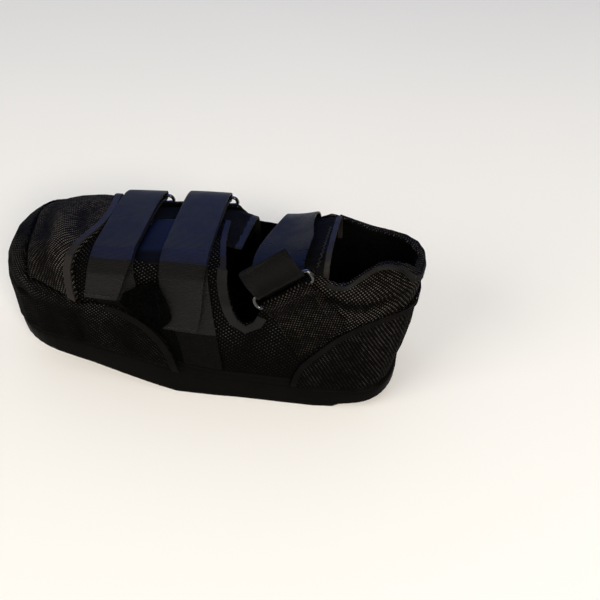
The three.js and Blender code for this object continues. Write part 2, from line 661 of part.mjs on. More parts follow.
// A wire ring with straight bars: centre, axis along the bars, axis across them.
function wireRing(centre, barAxis, acrossAxis, barLength, span) {
  const normal = barAxis.clone().cross(acrossAxis);
  const halfBar = barLength / 2;
  const halfSpan = span / 2;
  const centres = [0, 1, 2, 3].flatMap((quarter) => {
    const sx = quarter === 0 || quarter === 3 ? 1 : -1;
    const sy = quarter < 2 ? 1 : -1;
    return spaced(90 * quarter, 90 * (quarter + 1), ring.cornerSteps).map((degrees) => {
      const angle = rad(degrees);
      const u = sx * (halfBar - ring.corner) + ring.corner * Math.cos(angle);
      const v = sy * (halfSpan - ring.corner) + ring.corner * Math.sin(angle);
      return { u, v, angle };
    });
  });
  const loops = centres.map(({ u, v, angle }) => {
    const at = centre.clone().addScaledVector(barAxis, u).addScaledVector(acrossAxis, v);
    const out = barAxis.clone().multiplyScalar(Math.cos(angle)).addScaledVector(acrossAxis, Math.sin(angle));
    return spaced(0, 360, ring.sides).slice(0, ring.sides).map((degrees) => at.clone()
      .addScaledVector(out, (ring.wire / 2) * Math.cos(rad(degrees)))
      .addScaledVector(normal, (ring.wire / 2) * Math.sin(rad(degrees))));
  });
  const surface = new Surface();
  loops.forEach((loop, i) => {
    const next = loops[(i + 1) % loops.length];
    for (let k = 0; k < ring.sides; k += 1) {
      const n = (k + 1) % ring.sides;
      surface.quad(loop[k], loop[n], next[n], next[k]);
    }
  });
  return surface.solid();
}

const frontStrap = {
  back: along(straps.frontAt),
  width: webbing.narrow,
  skew: 5,
  nearRise: 0.62,
  endRise: 1.17,
  underLean: { back: -6, front: 0 },
  endLean: { back: 13, front: 7 },
};
const midStrap = {
  back: along(straps.midAt),
  width: webbing.width,
  skew: 5,
  nearRise: 0.06,
  endRise: 0.78,
  underLean: { back: -5, front: -9 },
  endLean: { back: 10, front: 4 },
};

const front = strapGrid(frontStrap);
const mid = strapGrid(midStrap);

// Room behind the toe guard for the straps that come up from the sole.
const pocketSkew = 0.8;
const pocketOf = (spec) => {
  const back = spec.back + Math.min(spec.underLean.back, 0) - spec.skew - 2 * gap;
  const edge = spec.back + spec.width - spec.skew * pocketSkew + 2 * gap;
  return sidePrism(boxOutline(back, edge, below, sky), 0, reach);
};
const pockets = upperForm(underGrow + webbing.thickness / 2 + gap, deeper(ledgeDrop))
  .intersect(pocketOf(frontStrap).add(pocketOf(midStrap)));

// A point over the padded collar of the near side.
function overPad(x, z, grow) {
  const rise = riseAt(x, 1, z);
  return onForm(x, 1, rise, grow + collarPad(x, rise));
}

// A bar of a ring between two points that stand off the form by the turn of the webbing.
const barGrow = underGrow + turn;
const barPoint = ([x, z]) => overPad(x, z, barGrow + ankle.standOff);

// A ring's frame from its two bars.
function ringFrame(upper, lower) {
  const middle = (bar) => bar[0].clone().add(bar[1]).multiplyScalar(0.5);
  const barAxis = upper[1].clone().sub(upper[0]).normalize();
  const down = middle(lower).sub(middle(upper));
  const across = down.clone().addScaledVector(barAxis, -down.dot(barAxis)).normalize();
  const outward = across.clone().cross(barAxis).normalize();
  if (outward.dot(middle(upper).setX(0).setZ(0)) < 0) outward.negate();
  return { barAxis, across, outward, upper: middle(upper), barLength: upper[0].distanceTo(upper[1]) };
}

function ringOf(frame, barLength) {
  const centre = frame.upper.clone().addScaledVector(frame.across, ring.span / 2);
  return wireRing(centre, frame.barAxis, frame.across, barLength, ring.span);
}

const onBar = (frame, share, width, down) => frame.upper.clone()
  .addScaledVector(frame.barAxis, (share - 0.5) * width)
  .addScaledVector(frame.across, down);

// The ankle ring on the near side, its strap and the knitted tab that holds it.
const ankle = {
  upperBar: inSide([{ at: 0.3464, up: 0.846 }, { at: 0.2429, up: 1 }]),
  lowerBar: inSide([{ at: 0.325, up: 0.76 }, { at: 0.2286, up: 0.933 }]),
  ringLength: 39,
  standOff: 2,
  flapLength: 19,
  flapLift: 6,
  tabTop: 33,
  foot: inSide([{ at: 0.25, up: 0.346 }, { at: 0.15, up: 0.654 }]),
  tabFree: 3,
  tabSettle: 13,
};

// The ankle strap's two edges from the far side over the instep; rise is as in the form.
const ankleRows = [
  { side: -1, frontAt: 0.3143, rearAt: 0.2464, frontRise: 0.9, rearRise: 0.9 },
  { side: -1, frontAt: 0.3214, rearAt: 0.2479, frontRise: 1.2, rearRise: 1.2 },
  { side: -1, frontAt: 0.3286, rearAt: 0.25, frontRise: 1.4, rearRise: 1.4 },
  { side: -1, frontAt: 0.3321, rearAt: 0.2536, frontRise: 1.53, rearRise: 1.53 },
  { side: -1, frontAt: 0.3357, rearAt: 0.2571, frontRise: 1.7, rearRise: 1.7 },
  { side: 1, frontAt: 0.35, rearAt: 0.25, frontRise: 2, rearRise: 2 },
  { side: 1, frontAt: 0.3643, rearAt: 0.2393, frontRise: 1.75, rearRise: 1.83 },
  { side: 1, frontAt: 0.3643, rearAt: 0.2429, frontRise: 1.6, rearRise: 1.73 },
  { side: 1, frontAt: 0.3607, rearAt: 0.2429, frontRise: 1.5, rearRise: 1.66 },
  { side: 1, frontAt: 0.3571, rearAt: 0.2464, frontRise: 1.44, rearRise: 1.6 },
];

const ankleFrame = ringFrame(ankle.upperBar.map(barPoint), ankle.lowerBar.map(barPoint));

function makeAnkleStrap() {
  const { outward, across } = ankleFrame;
  const over = ankleRows.map((row) => acrossStrap.map((share) => {
    const x = lerp(along(row.frontAt), along(row.rearAt), share);
    const rise = lerp(row.frontRise, row.rearRise, share);
    return onForm(x, row.side, rise, underGrow + 2 * gap + collarPad(x, rise));
  }));
  const bar = acrossStrap.map((share) => onBar(ankleFrame, share, ankle.tabTop, 0));
  const flap = [0.25, 0.5, 0.75, 1].map((run) => bar.map((point) => point.clone()
    .addScaledVector(outward, turn + ankle.flapLift * run * run)
    .addScaledVector(across, -ankle.flapLength * run)));
  return sheet([...over, ...halfTurn(bar, outward, across), ...flap], webbing.thickness);
}

function makeRingTab() {
  const { outward, across } = ankleFrame;
  const up = across.clone().negate();
  const bar = acrossStrap.map((share) => onBar(ankleFrame, share, ankle.tabTop, ring.span));
  const foot = acrossStrap.map((share) => {
    const [x, z] = [0, 1].map((k) => lerp(ankle.foot[0][k], ankle.foot[1][k], share));
    return overPad(x, z, 0);
  });
  const leg = [0.12, 0.25, 0.4, 0.6, 0.8, 1].map((run) => bar.map((point, c) => {
    const at = point.clone().lerp(foot[c], run);
    const away = run * point.distanceTo(foot[c]);
    const settle = THREE.MathUtils.smoothstep(away, ankle.tabFree, ankle.tabSettle);
    return at.clone().addScaledVector(outward, turn).lerp(overPad(at.x, at.z, underGrow + gap), settle);
  }));
  return sheet([...halfTurn(bar, outward, up), ...leg], webbing.thickness);
}

const legDrops = [4.5, 8, 11];

// The rings of the two forefoot straps on the far side, and the short loops that hold them.
function farRing(strap, spec) {
  const x = [strap.bar[0].x, strap.bar[2].x];
  const span = (rise) => onForm(x[0], -1, rise, barGrow).distanceTo(strap.bar[0]);
  let rise = 1.45;
  while (span(rise) < ring.span) rise -= 0.01;
  const lower = x.map((at) => onForm(at, -1, rise, barGrow));
  const frame = ringFrame([strap.bar[0], strap.bar[2]], lower);
  const columns = [0.12, 0.5, 0.88];
  const bar = columns.map((share) => onBar(frame, share, spec.width, ring.span));
  const height = onForm(x[0], -1, rise, 0).z;
  const legAt = (down, grow) => columns.map((share) => (
    onWall(lerp(x[0], x[1], share), -1, height - down, grow)
  ));
  const inner = legDrops.map((down) => legAt(down, underGrow)).reverse();
  const outer = legDrops.map((down, i) => legAt(down, outerGrow + (i ? 0 : turn)));
  const round = halfTurn(bar, frame.outward, frame.across.clone().negate());
  const loop = sheet([...inner, ...round, ...outer], webbing.thickness);
  return { ring: ringOf(frame, spec.width + 2 * ring.overhang), loop };
}

// The pile patch lies on the side between the straps and laps over the middle strap's front edge.
const patchRamp = { from: 7, to: 14 };

function makePilePatch() {
  const edge = midStrap.back + midStrap.width;
  const high = outerGrow + webbing.thickness / 2 + gap;
  const low = underGrow + webbing.thickness / 2 + gap;
  const stepDown = (x) => THREE.MathUtils.smoothstep(x, edge + patchRamp.from, edge + patchRamp.to);
  const grow = (x) => lerp(high, low, stepDown(x));
  const cloth = upperForm((x) => grow(x) + layer.patch).subtract(upperForm(grow, deeper()));
  return cloth.intersect(sidePrism(patchOutline, 0, reach));
}

function makeGuardTape(side) {
  const low = gap + layer.guard + gap;
  const edge = bandBetween(guardCurve.filter(([x]) => x < along(starts.guardTape)), 0, tape.wide);
  const band = side > 0 ? sidePrism(edge, 0, reach) : sidePrism(edge, -reach, 0);
  return shell(low, low + layer.tape, ledgeDrop).intersect(guardRegion()).intersect(band);
}

const fabric = "#1b1b1d";
const frontRing = farRing(front, frontStrap);
const midRing = farRing(mid, midStrap);

add("outsole", makeOutsole(), "#22211e", 0.6);
add("insole", makeInsole(), "#151515", 0.9);
add("upper", makeUpper(), fabric, 0.9);
add("toe_guard", makeToeGuard(pockets), "#1d1d1e", 0.85);
add("toe_guard_binding_left", makeGuardTape(1), "#2e2d2c", 0.7);
add("toe_guard_binding_right", makeGuardTape(-1), "#2e2d2c", 0.7);
add("toe_cover", makeToeCover(), "#202124", 0.9);
add("toe_cover_binding", makeCoverTape(), "#3a3a3c", 0.7);
add("heel_counter", makeCounter(), "#23221f", 0.85);
add("heel_counter_binding", makeCounterTape(), "#302f2d", 0.7);
add("collar_binding", makeCollarTape(), "#2c2c2e", 0.7);
add("throat_binding", makeThroatTape(), "#333336", 0.65);
add("far_flap", makeFarFlap(), "#1c1d22", 0.8);
add("front_flap", makeFrontFlap(), "#161617", 0.95);
add("front_strap", sheet(front.grid, webbing.thickness), "#2b2c30", 0.7);
add("mid_strap", sheet(mid.grid, webbing.thickness), "#2b2c30", 0.7);
add("ankle_strap", makeAnkleStrap(), "#26272c", 0.7);
add("front_ring", frontRing.ring, "#0c0c0d", 0.25);
add("mid_ring", midRing.ring, "#0c0c0d", 0.25);
add("ankle_ring", ringOf(ankleFrame, ankle.ringLength), "#0c0c0d", 0.2);
add("front_ring_loop", frontRing.loop, fabric, 0.8);
add("mid_ring_loop", midRing.loop, fabric, 0.8);
add("ring_tab", makeRingTab(), "#24231f", 0.9);
add("pile_patch", makePilePatch(), "#1a1a1a", 1);

// One mesh for each solid.
function meshOf(name, { solid, colour, roughness, metalness }) {
  const made = solid.getMesh();
  const geometry = new THREE.BufferGeometry();
  const places = Float32Array.from(made.vertProperties);
  geometry.setAttribute("position", new THREE.BufferAttribute(places, 3));
  geometry.setIndex(new THREE.BufferAttribute(Uint32Array.from(made.triVerts), 1));
  geometry.computeVertexNormals();
  const material = new THREE.MeshStandardMaterial({ color: colour, roughness, metalness });
  const mesh = new THREE.Mesh(geometry, material);
  mesh.name = name;
  return mesh;
}

const object = new THREE.Group();
object.name = "post_operative_shoe";
Object.entries(solids).forEach(([name, spec]) => object.add(meshOf(name, spec)));

export default object;
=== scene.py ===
import math
import random

import bpy
import numpy as np
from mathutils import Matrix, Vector
from mathutils.kdtree import KDTree


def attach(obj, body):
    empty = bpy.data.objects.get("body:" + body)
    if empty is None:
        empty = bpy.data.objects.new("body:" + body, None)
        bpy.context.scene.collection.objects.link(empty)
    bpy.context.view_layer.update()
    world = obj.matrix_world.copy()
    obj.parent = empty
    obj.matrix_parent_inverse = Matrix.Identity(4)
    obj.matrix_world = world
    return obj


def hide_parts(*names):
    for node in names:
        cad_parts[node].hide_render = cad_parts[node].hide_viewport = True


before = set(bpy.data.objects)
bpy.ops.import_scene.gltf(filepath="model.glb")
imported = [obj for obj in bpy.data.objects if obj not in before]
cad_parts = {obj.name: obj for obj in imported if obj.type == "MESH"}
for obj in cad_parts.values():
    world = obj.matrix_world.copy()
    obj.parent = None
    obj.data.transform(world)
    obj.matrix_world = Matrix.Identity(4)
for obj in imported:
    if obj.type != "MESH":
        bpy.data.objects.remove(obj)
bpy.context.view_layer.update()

mm = 0.001
heelRoot, toeRoot = -62.8, 127.6     # where the outline starts to turn round the heel and the toe, mm
heelRadius, toeRadius = 45, 50     # how wide the cloth's map turns there, mm
random.seed(7)


def alone(piece):
    bpy.ops.object.select_all(action="DESELECT")
    piece.select_set(True)
    bpy.context.view_layer.objects.active = piece


def editMode(on=True):
    bpy.ops.object.mode_set(mode="EDIT" if on else "OBJECT")


def modify(piece, kind, **settings):
    alone(piece)
    step = piece.modifiers.new(kind.lower(), kind)
    for key, value in settings.items():
        setattr(step, key, value)
    bpy.ops.object.modifier_apply(modifier=step.name)


def copyNode(node, name):
    piece = bpy.data.objects.new(name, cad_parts[node].data.copy())
    bpy.context.scene.collection.objects.link(piece)
    piece.data.materials.clear()
    alone(piece)
    editMode()
    bpy.ops.mesh.select_all(action="SELECT")
    bpy.ops.mesh.remove_doubles(threshold=0.00001)
    editMode(False)
    return piece


def pointsOf(piece):
    co = np.zeros(len(piece.data.vertices) * 3, np.float32)
    piece.data.vertices.foreach_get("co", co)
    return co.reshape(-1, 3).astype(float) / mm


def setPoints(piece, co):
    piece.data.vertices.foreach_set("co", (co * mm).astype(np.float32).ravel())
    piece.data.update()


# both ends of each edge, and how many edges meet at each point
def edgesOf(piece):
    ends = np.zeros(len(piece.data.edges) * 2, np.int32)
    piece.data.edges.foreach_get("vertices", ends)
    a, b = ends.reshape(-1, 2).T
    size = len(piece.data.vertices)
    count = np.bincount(a, minlength=size) + np.bincount(b, minlength=size)
    return a, b, np.maximum(count, 1)


# evens out the facets without shrinking the cloth
def relax(piece, rounds, pull=0.55, push=-0.57):
    a, b, count = edgesOf(piece)
    co = pointsOf(piece)
    for i in range(rounds * 2):
        mean = np.stack([
            np.bincount(a, co[b, k], len(co)) + np.bincount(b, co[a, k], len(co)) for k in range(3)
        ], 1) / count[:, None]
        co += (mean - co) * (pull if i % 2 == 0 else push)
    setPoints(piece, co)


# a node's copy as even, softly rounded cloth
def soften(node, name, voxel, rounds, blur=0):
    piece = copyNode(node, name)
    modify(piece, "REMESH", mode="VOXEL", voxel_size=voxel * mm, use_smooth_shade=True)
    relax(piece, rounds)
    if blur:
        modify(piece, "SMOOTH", factor=0.5, iterations=blur)
    return piece


# distance in mm from each point to a line of points, and how far along it the nearest place is
def nearLine(co, line):
    line = np.array(line, float)
    best = np.full(len(co), 1e9)
    run = np.zeros(len(co))
    start = 0.0
    for p, q in zip(line[:-1], line[1:]):
        d = q - p
        length = np.linalg.norm(d)
        t = np.clip((co - p) @ d / length ** 2, 0, 1)
        far = np.linalg.norm(co - (p + t[:, None] * d), axis=1)
        closer = far < best
        best = np.where(closer, far, best)
        run = np.where(closer, start + t * length, run)
        start += length
    return best, run, start


# directions out of the shoe's middle line at a height in mm, nearly level below it
def outwardFrom(co, height=52):
    root = np.clip(co[:, 0], heelRoot, toeRoot)
    away = np.stack([co[:, 0] - root, co[:, 1], co[:, 2] - height], 1)
    away[:, 2] = np.where(away[:, 2] < 0, away[:, 2] * 0.1, away[:, 2])
    return away / np.maximum(np.linalg.norm(away, axis=1), 1e-6)[:, None]


# soft troughs and ridges: line in mm, width and depth in mm, a ridge has a negative depth.
# The cloth gets a painted highlight on each ridge and painted shade in each trough, along with some wear, and
# the point attribute keeps them.
def press(piece, marks):
    co = pointsOf(piece)
    away = outwardFrom(co)
    move = np.zeros(len(co))
    wearAndPaintedShade = np.zeros(len(co))
    for mark in marks:
        far, run, length = nearLine(co, mark["line"])
        ends = np.minimum(np.minimum(run, length - run) / (0.25 * length) + 0.35, 1)
        move -= mark["depth"] * np.exp(-(far / mark["width"]) ** 2) * ends
        # how far the painted highlight and painted shade reach across each mark, mixed with wear
        rubbedAndShaded = np.exp(-(far / mark["width"] / 1.2) ** 2) * ends
        wearAndPaintedShade -= np.sign(mark["depth"]) * mark.get("wearAndPaintedShade", 0.7) * rubbedAndShaded
    setPoints(piece, co + away * move[:, None])
    kept = piece.data.attributes.new("wearAndPaintedShade", "FLOAT", "POINT")
    kept.data.foreach_set("value", np.clip(wearAndPaintedShade, -0.95, 2.5).astype(np.float32))


# draws a tape in to the cloth under it where the cloth turns tightly, by up to most mm; reach is how many
# neighbours are asked for the tape's inner face
def settle(piece, onto, reach=14, most=2.5, every=3, rounds=6):
    co = pointsOf(piece)
    root = np.clip(co[:, 0], heelRoot, toeRoot)
    away = np.stack([co[:, 0] - root, co[:, 1], np.zeros(len(co))], 1)
    away /= np.maximum(np.linalg.norm(away, axis=1), 1e-6)[:, None]
    near = np.array([onto.closest_point_on_mesh(Vector(p * mm))[1] for p in co]) / mm
    above = ((co - near) * away).sum(1)
    places = KDTree(len(co))
    for i in range(0, len(co), every):
        places.insert(co[i] * mm, i)
    places.balance()
    slack = np.array([min(above[i] for _, i, _ in places.find_n(p * mm, reach)) for p in co])
    drop = np.clip(slack, 0, most)
    a, b, count = edgesOf(piece)
    for _ in range(rounds):
        drop = (np.bincount(a, drop[b], len(co)) + np.bincount(b, drop[a], len(co))) / count
    setPoints(piece, co - away * drop[:, None])


def smoothShade(piece):
    alone(piece)
    bpy.ops.object.shade_smooth()


# a cloth map in millimetres: u runs round the shoe and v up its side and over the top
def clothMap(piece, way="round", **spec):
    co = pointsOf(piece)
    x, y, z = co.T
    if way == "round":
        root = np.clip(x, heelRoot, toeRoot)
        off = x - root
        turn = np.arctan2(np.abs(off), np.abs(y)) * np.sign(off)
        u = root + turn * np.where(off < 0, heelRadius, toeRadius)
        v = z - np.hypot(off, y)
    elif way == "dome":
        cx, cy, top, share = spec["centre"]
        r = np.maximum(np.hypot(x - cx, y - cy), 0.01)
        rho = 1 + share * np.maximum(top - z, 0) / r
        u, v = (x - cx) * rho, (y - cy) * rho
    else:
        u = co @ np.array(spec["across"], float)
        v = nearLine(co, spec["line"])[1]
    uv = np.stack([u, v], 1)
    layer = piece.data.uv_layers.get("cloth") or piece.data.uv_layers.new(name="cloth")
    corner = np.zeros(len(piece.data.loops), np.int32)
    piece.data.loops.foreach_get("vertex_index", corner)
    layer.data.foreach_set("uv", uv[corner].astype(np.float32).ravel())


# a material and the short calls that wire its nodes
class Finish:
    def __init__(self, name, rough, specular):
        self.material = bpy.data.materials.new(name)
        self.material.use_nodes = True
        self.tree = self.material.node_tree
        self.shader = self.tree.nodes["Principled BSDF"]
        self.shader.inputs["Roughness"].default_value = rough
        self.shader.inputs["Specular IOR Level"].default_value = specular
        self.objectPlace = self.node("TexCoord").outputs["Object"]

    def node(self, kind, inputs=None, **settings):
        made = self.tree.nodes.new("ShaderNode" + kind)
        for key, value in settings.items():
            setattr(made, key, value)
        for key, value in (inputs or {}).items():
            if isinstance(value, bpy.types.NodeSocket):
                self.tree.links.new(value, made.inputs[key])
            else:
                made.inputs[key].default_value = value
        return made

    def sum(self, operation, a, b=0.0, c=0.0):
        return self.node("Math", {0: a, 1: b, 2: c}, operation=operation).outputs[0]

    def ramp(self, value, low, high, outLow=0.0, outHigh=1.0):
        sockets = {0: value, 1: low, 2: high, 3: outLow, 4: outHigh}
        return self.node("MapRange", sockets, interpolation_type="SMOOTHSTEP").outputs[0]

    def blend(self, share, a, b):
        return self.node("Mix", {0: share, 6: a, 7: b}, data_type="RGBA").outputs[2]

    def noise(self, scale, detail=2.0, place=None):
        sockets = {"Vector": place or self.objectPlace, "Scale": scale, "Detail": detail}
        return self.node("TexNoise", sockets).outputs[0]

    def clothPlace(self, wander):
        place = self.node("UVMap", uv_map="cloth").outputs[0]
        sockets = {"Vector": self.objectPlace, "Scale": 160.0, "Detail": 1.0}
        stray = self.node("TexNoise", sockets).outputs[1]
        stray = self.node("VectorMath", {0: stray, 1: (-0.5, -0.5, -0.5)}, operation="ADD").outputs[0]
        stray = self.node("VectorMath", {0: stray, "Scale": wander}, operation="SCALE").outputs[0]
        place = self.node("VectorMath", {0: place, 1: stray}, operation="ADD").outputs[0]
        u, v, _ = self.node("SeparateXYZ", {0: place}).outputs
        return u, v

    def shades(self, look, low, high):
        return tone(look["thread"] * low, look["warm"]), tone(look["thread"] * high, look["warm"])

    def colour(self, socket):
        self.tree.links.new(socket, self.shader.inputs["Base Color"])

    def roughness(self, socket):
        self.tree.links.new(socket, self.shader.inputs["Roughness"])

    def bump(self, height, distance):
        node = self.node("Bump", {"Height": height, "Distance": distance, "Strength": 1.0})
        self.tree.links.new(node.outputs[0], self.shader.inputs["Normal"])


def tone(grey, warm=0.0):
    return (grey * (1 + warm), grey, grey * (1 - warm), 1)


# open knitted mesh: raised thread crossings in staggered rows over dark gaps
def meshCloth(name, look):
    f = Finish(name, look["rough"], look["shine"])
    u, v = f.clothPlace(look["wander"])
    if look["slant"]:
        u = f.sum("ADD", u, f.sum("MULTIPLY", v, look["slant"]))
    across = f.sum("COSINE", f.sum("MULTIPLY", u, math.pi / look["pitch"][0]))
    up = f.sum("COSINE", f.sum("MULTIPLY", v, math.pi / look["pitch"][1]))
    cell = f.sum("MULTIPLY", across, up)
    knot = f.ramp(cell, look["knot"] - 0.25, look["knot"] + 0.25)
    strand = f.ramp(cell, -0.9, look["knot"])
    patches = f.ramp(f.noise(look["patch"], 3.0), 0.35, 0.65, look["worn"], 1.0)
    # painted glints: noise makes some knots brighter than others
    each = f.ramp(f.noise(330.0, 1.0), 0.35, 0.65, 0.35, 1.5)
    # the painted fold highlight and painted shade, with some wear, read from the point attribute that press
    # keeps
    wearAndPaintedShade = f.sum("ADD", 1.0, f.node("Attribute", attribute_name="wearAndPaintedShade").outputs[2])
    # painted shade: the threads darken from 80 mm down to dimUnder mm, towards the sole
    height = f.node("SeparateXYZ", {0: f.objectPlace}).outputs[2]
    high = f.ramp(height, look["dimUnder"] * mm, 80 * mm, look["dim"], 1.0)
    lit = f.sum("MULTIPLY", f.sum("MULTIPLY", wearAndPaintedShade, high), patches)
    level = f.sum("MULTIPLY", f.sum("MULTIPLY", knot, each), lit)
    gap, thin, thick = (tone(look[part], look["warm"]) for part in ("gap", "strand", "thread"))
    dark = f.blend(f.sum("MULTIPLY", strand, lit), gap, thin)
    f.colour(f.blend(level, dark, thick))
    relief = f.sum("ADD", f.sum("MULTIPLY", strand, 0.5), f.sum("MULTIPLY", knot, 0.5))
    relief = f.sum("ADD", relief, f.sum("MULTIPLY", f.noise(900.0), 0.12))
    f.bump(relief, look["depth"] * mm)
    return f.material


# woven webbing: fine ribs across its length, with the odd thread painted bright as a glint
def webbingCloth(name, look):
    f = Finish(name, look["rough"], look["shine"])
    u, v = f.clothPlace(0.12)
    ribs = f.sum("SINE", f.sum("MULTIPLY", v, 2 * math.pi / look["rib"]))
    warp = f.sum("SINE", f.sum("MULTIPLY", u, 2 * math.pi / look["warp"]))
    stretched = f.node("CombineXYZ", {0: f.sum("MULTIPLY", u, 0.35), 1: f.sum("MULTIPLY", v, 2.2)}).outputs[0]
    streak = f.noise(1.0, 3.0, stretched)
    patches = f.noise(45.0, 3.0)
    level = f.sum("ADD", f.sum("MULTIPLY", streak, 0.75), f.sum("MULTIPLY", patches, 0.35))
    weave = f.blend(f.ramp(level, 0.35, 0.75), *f.shades(look, 0.6, 1.3))
    # painted glints: scattered threads on the ribs made seven times brighter
    threadGlint = f.node("CombineXYZ", {0: f.sum("MULTIPLY", u, 0.8), 1: f.sum("MULTIPLY", v, 1.9)}).outputs[0]
    threadGlint = f.sum("MULTIPLY", f.ramp(f.noise(1.0, 2.0, threadGlint), 0.52, 0.72), f.ramp(ribs, -0.2, 0.8))
    weave = f.blend(threadGlint, weave, tone(look["thread"] * 7, look["warm"]))
    f.colour(f.blend(f.ramp(ribs, -1.0, 0.2), f.blend(0.25, weave, tone(0.0006)), weave))
    relief = f.sum("ADD", ribs, f.sum("MULTIPLY", f.sum("MULTIPLY", warp, ribs), 0.5))
    relief = f.sum("ADD", relief, f.sum("MULTIPLY", f.noise(1400.0), 0.5))
    f.bump(relief, look["depth"] * mm)
    f.roughness(f.ramp(patches, 0.3, 0.7, look["rough"] - 0.06, look["rough"] + 0.08))
    return f.material


# smooth folded tape with a faint fine weave
def tapeCloth(name, look):
    f = Finish(name, look["rough"], look["shine"])
    patches = f.noise(70.0, 3.0)
    f.colour(f.blend(f.ramp(patches, 0.3, 0.7), *f.shades(look, 0.75, 1.2)))
    fine = f.noise(1500.0, 1.0)
    relief = f.sum("ADD", f.sum("MULTIPLY", fine, 0.4), f.noise(240.0, 3.0))
    f.bump(relief, look["depth"] * mm)
    return f.material


# brushed lining and pile: no pattern, only nap
def napCloth(name, look):
    f = Finish(name, look["rough"], look["shine"])
    clumps = f.noise(look["clump"], 4.0)
    patches = f.noise(60.0, 3.0)
    level = f.sum("ADD", f.sum("MULTIPLY", clumps, 0.6), f.sum("MULTIPLY", patches, 0.4))
    f.colour(f.blend(f.ramp(level, 0.35, 0.65), *f.shades(look, 0.4, 1.5)))
    relief = f.sum("ADD", clumps, f.sum("MULTIPLY", f.noise(look["clump"] * 3, 2.0), 0.5))
    f.bump(relief, look["depth"] * mm)
    return f.material


# moulded foam rubber with fine pores, and rubbed lighter in places
def soleFoam(name, look):
    f = Finish(name, look["rough"], look["shine"])
    pores = f.noise(1100.0, 2.0)
    waves = f.noise(120.0, 3.0)
    rubs = f.noise(26.0, 5.0)
    f.colour(f.blend(f.ramp(rubs, 0.38, 0.68), *f.shades(look, 0.7, 1.35)))
    f.roughness(f.ramp(rubs, 0.35, 0.7, look["rough"] - 0.1, look["rough"] + 0.12))
    f.bump(f.sum("ADD", f.sum("MULTIPLY", pores, 0.35), waves), look["depth"] * mm)
    return f.material


def ringPlastic(name, look):
    f = Finish(name, look["rough"], 0.5)
    f.shader.inputs["Coat Weight"].default_value = look["coat"]
    f.shader.inputs["Coat Roughness"].default_value = look["coatRough"]
    wearAndPaintedShade = f.noise(300.0, 4.0)
    f.colour(f.blend(f.ramp(wearAndPaintedShade, 0.4, 0.7), tone(look["tone"]), tone(look["tone"] * look["rubbedAndShaded"])))
    f.bump(wearAndPaintedShade, look["depth"] * mm)
    return f.material


# pitch in mm, knot the share that stays dark, thread strand and gap in grey, dim what is left low down as
# painted shade
clothLook = {
    "vamp": {
        "pitch": (1.75, 1.5), "slant": 0.15, "wander": 0.5, "depth": 0.3, "knot": 0.76, "thread": 0.06,
        "strand": 0.0012, "gap": 0.0006, "warm": 0.03, "patch": 30.0, "worn": 0.1,
        "dim": 0.1, "dimUnder": 30,
    },
    "quarter": {
        "pitch": (1.45, 1.25), "slant": 0.2, "wander": 0.4, "depth": 0.45, "knot": 0.55, "thread": 0.062,
        "strand": 0.0015, "gap": 0.0008, "warm": 0.12, "patch": 40.0, "worn": 0.45,
        "dim": 0.5, "dimUnder": 30,
    },
    "guard": {
        "pitch": (1.45, 1.25), "slant": 0.3, "wander": 0.3, "depth": 0.3, "knot": 0.68, "thread": 0.05,
        "strand": 0.001, "gap": 0.0006, "warm": 0.05, "patch": 34.0, "worn": 0.15,
        "dim": 0.3, "dimUnder": 30,
    },
    "toe": {
        "pitch": (1.3, 1.1), "slant": 0.5, "wander": 0.25, "depth": 0.3, "knot": 0.5, "thread": 0.085,
        "strand": 0.003, "gap": 0.0012, "warm": 0.1, "patch": 30.0, "worn": 0.45,
        "dim": 1.0, "dimUnder": 30,
    },
    "tab": {
        "pitch": (1.25, 1.1), "slant": 0.0, "wander": 0.3, "depth": 0.45, "knot": 0.55, "thread": 0.036,
        "strand": 0.0015, "gap": 0.0006, "warm": 0.14, "patch": 55.0, "worn": 0.3,
        "dim": 0.35, "dimUnder": 35,
    },
    "counter": {
        "pitch": (1.35, 1.15), "slant": 0.6, "wander": 0.25, "depth": 0.4, "knot": 0.6, "thread": 0.04,
        "strand": 0.0012, "gap": 0.0006, "warm": 0.12, "patch": 34.0, "worn": 0.3,
        "dim": 0.55, "dimUnder": 20,
    },
}
for look in clothLook.values():
    look.update(rough=0.85, shine=0.025)
meshOf = {key: meshCloth(key + "Mesh", look) for key, look in clothLook.items()}
strapWeave = webbingCloth("strapWebbing", {
    "rib": 1.3, "warp": 0.8, "thread": 0.002, "warm": 0.1, "depth": 0.2, "rough": 0.4, "shine": 0.115})
# painted shade: a darker, duller copy of the strap webbing for the straps' lower near side
shadedWeave = webbingCloth("strapWebbingShaded", {
    "rib": 1.3, "warp": 0.8, "thread": 0.0012, "warm": 0.05, "depth": 0.1, "rough": 0.6, "shine": 0.03})
ankleTwill = webbingCloth("ankleTwill", {
    "rib": 0.9, "warp": 0.9, "thread": 0.0008, "warm": 0.0, "depth": 0.14, "rough": 0.36, "shine": 0.075})
tapeLook = {
    "collarTape": {"thread": 0.006, "warm": 0.08, "depth": 0.08, "rough": 0.6, "shine": 0.06},
    "coverTape": {"thread": 0.012, "warm": 0.08, "depth": 0.06, "rough": 0.6, "shine": 0.08},
    "throatCloth": {"thread": 0.008, "warm": 0.0, "depth": 0.06, "rough": 0.55, "shine": 0.045},
    "vampTop": {"thread": 0.0012, "warm": 0.0, "depth": 0.12, "rough": 0.5, "shine": 0.04},
    "edgeTape": {"thread": 0.0025, "warm": 0.08, "depth": 0.06, "rough": 0.6, "shine": 0.025},
}
tapeOf = {key: tapeCloth(key, look) for key, look in tapeLook.items()}
